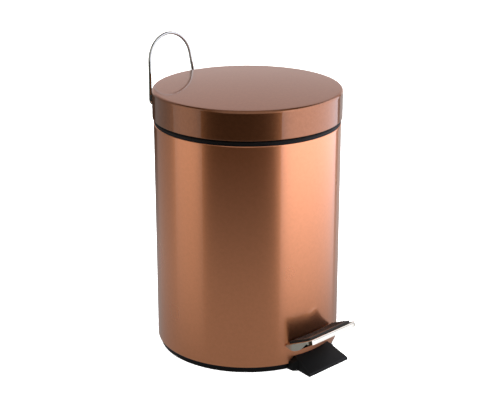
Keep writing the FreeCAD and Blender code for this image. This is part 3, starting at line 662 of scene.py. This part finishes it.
def make_tread():
    """Rubber tread: a slab with a rounded edge, raised pips and a smooth front band."""
    half = tread_high.x
    front = tread_low.y
    thick, edge, wall = TREAD_THICK, TREAD_EDGE, TREAD_WALL_RADIUS
    outline = pedal_outline(half, front, TREAD_CORNER, wall, 6)
    lift = 1 / math.cos(PEDAL_SLOPE)
    bm = bmesh.new()
    rings = []
    levels = ((0.0, 0.0), (thick - edge, 0.0), (thick - edge * 0.3, edge * 0.3), (thick, edge))
    for level, inward in levels:
        ring = []
        for point, normal in outline:
            spot = point - normal * inward
            ring.append(bm.verts.new((spot.x, spot.y, plate_top(spot.y) + level * lift)))
        rear = rear_points(half - inward, wall, lambda y: plate_top(y) + level * lift)
        ring += [bm.verts.new(p) for p in rear]
        rings.append(ring)
    for here, there in zip(rings, rings[1:]):
        count = len(here)
        for n in range(count):
            after = (n + 1) % count
            bm.faces.new((here[n], here[after], there[after], there[n]))
    bm.faces.new(rings[0])
    bm.faces.new(rings[-1])
    add_pips(bm, half, front)
    return new_piece("pedal_tread_pad", bm, MATERIALS["black_rubber"], None)


def add_pips(bm, half, front):
    """Staggered rows of low round pips on the tread behind its smooth front band."""
    top = TREAD_THICK / math.cos(PEDAL_SLOPE) - PIP_SINK
    count = int((half - 1.6 * MM) / PIP_PITCH_X)
    for row in range(PIP_ROWS):
        y = front + FRONT_BAND + row * PIP_PITCH_Y
        shift = PIP_PITCH_X / 2 if row % 2 else 0.0
        for column in range(-count, count + 1):
            x = column * PIP_PITCH_X + shift
            if abs(x) > half - PIP_SIDE_GAP:
                continue
            if math.hypot(x, y) < TREAD_WALL_RADIUS + PIP_WALL_GAP:
                continue
            base = Vector((x, y, plate_top(y) + top))
            place = Matrix.Translation(base) @ Matrix.Rotation(-PEDAL_SLOPE, 4, "X")
            add_pip(bm, place, PIP_RADIUS, PIP_HEIGHT)


def add_pip(bm, place, radius, height):
    sides = 10
    rings = []
    for share, level in ((1.0, 0.0), (0.86, 0.55), (0.5, 0.9)):
        ring = []
        for n in range(sides):
            angle = 2 * math.pi * n / sides
            wide = radius * share
            spot = Vector((math.cos(angle) * wide, math.sin(angle) * wide, height * level))
            ring.append(bm.verts.new(place @ spot))
        rings.append(ring)
    for here, there in zip(rings, rings[1:]):
        for n in range(sides):
            after = (n + 1) % sides
            bm.faces.new((here[n], here[after], there[after], there[n]))
    crest = bm.verts.new(place @ Vector((0, 0, height)))
    for n in range(sides):
        bm.faces.new((rings[-1][n], rings[-1][(n + 1) % sides], crest))
    bm.faces.new(list(reversed(rings[0])))


settle(make_pedal_plate(), "pedal", "chrome", "pedal_plate")
settle(make_tread(), "pedal", "black_rubber", "pedal_tread")


# ---- carry handle -----------------------------------------------------------------------
HANDLE_LEAN = math.radians(6.7)
HANDLE_BEND = 4.0 * MM
HANDLE_TAIL_X = 12.0 * MM
HANDLE_WIRE = 1.5 * MM
HANDLE_TOP_RADIUS = 25.4 * MM
HANDLE_REACH = 62.0 * MM


def handle_half_path():
    """Centre line of the left half of the handle, standing upright, from tail to crest."""
    half = wire_high.x - HANDLE_WIRE
    centre = HANDLE_REACH - HANDLE_TOP_RADIUS
    across = math.hypot(half, centre)
    splay = math.atan2(half, centre) - math.asin(HANDLE_TOP_RADIUS / across)
    splay_deg = math.degrees(splay)
    set_back = HANDLE_BEND * math.tan((math.pi / 2 - splay) / 2 + splay)
    points = [(-HANDLE_TAIL_X, 0.0)]
    points += arc(-half + set_back, HANDLE_BEND, HANDLE_BEND, 270, 180 - splay_deg, 12)
    points += arc(0.0, centre, HANDLE_TOP_RADIUS, 180 - splay_deg, 90, 30)
    return points


def make_carry_handle():
    pivot = Vector(JOINTS["handle_swing"]["pos_m"])
    left = handle_half_path()
    right = [(-x, z) for x, z in reversed(left[:-1])]
    lean = Matrix.Rotation(-HANDLE_LEAN, 4, "X")
    points = [pivot + lean @ Vector((x, 0, z)) for x, z in left + right]
    wire = tube(points, HANDLE_WIRE)
    return new_piece("carry_handle_wire", wire, MATERIALS["chrome_wire"], None)


settle(make_carry_handle(), "handle", "chrome", "carry_handle")


# ---- bead round the top ring --------------------------------------------------------------
BEAD_RADIUS = 0.95 * MM
BEAD_INSET = 0.45 * MM
BEAD_DROP = 0.15 * MM


def make_ring_bead():
    """Half-round lip that the lid comes down on."""
    middle = (shell_high.z + lid_low.z) / 2 - BEAD_DROP
    profile = arc(RING_RADIUS - BEAD_INSET, middle, BEAD_RADIUS, -180, 180, 16)[:-1]
    return new_piece("top_ring_bead", lathe(profile), MATERIALS["black_plastic"], "bin")


make_ring_bead()


# ---- moulded foot with softened edges -----------------------------------------------------
def softened(node, name, width, material_slot, body):
    """Copy of a CAD node with every hard edge slightly rounded."""
    bm = bmesh.new()
    bm.from_mesh(frame["nodes"][node].data)
    bmesh.ops.remove_doubles(bm, verts=bm.verts, dist=1e-6)
    bmesh.ops.dissolve_limit(bm, angle_limit=math.radians(0.5), verts=bm.verts, edges=bm.edges)
    hard = [e for e in bm.edges if len(e.link_faces) == 2 and e.calc_face_angle(0.0) > math.radians(20)]
    bmesh.ops.bevel(bm, geom=hard, offset=width, segments=3, profile=0.5, affect="EDGES",
                    clamp_overlap=True)
    piece = new_piece(name, bm, MATERIALS[material_slot], None)
    settle(piece, body, material_slot, node)
    return piece


softened("front_foot", "front_foot_moulding", 0.6 * MM, "black_plastic", "bin")


# ---- the CAD nodes' materials -----------------------------------------------------------
# These back and inner parts get the lighter copy of the black plastic, painted light.
PAINTED_LIGHT_NODES = ("inner_bucket", "hinge_housing", "handle_bushes", "rod_guides", "rod_shoe", "rod_tip")
for entry in frame["record"]["subparts"]:
    node = frame["nodes"][entry["node"]]
    slot = entry["material_slot"]
    if entry["node"] in PAINTED_LIGHT_NODES:
        slot = "black_plastic_back_painted_light"
    node.data.materials.clear()
    node.data.materials.append(MATERIALS[slot])
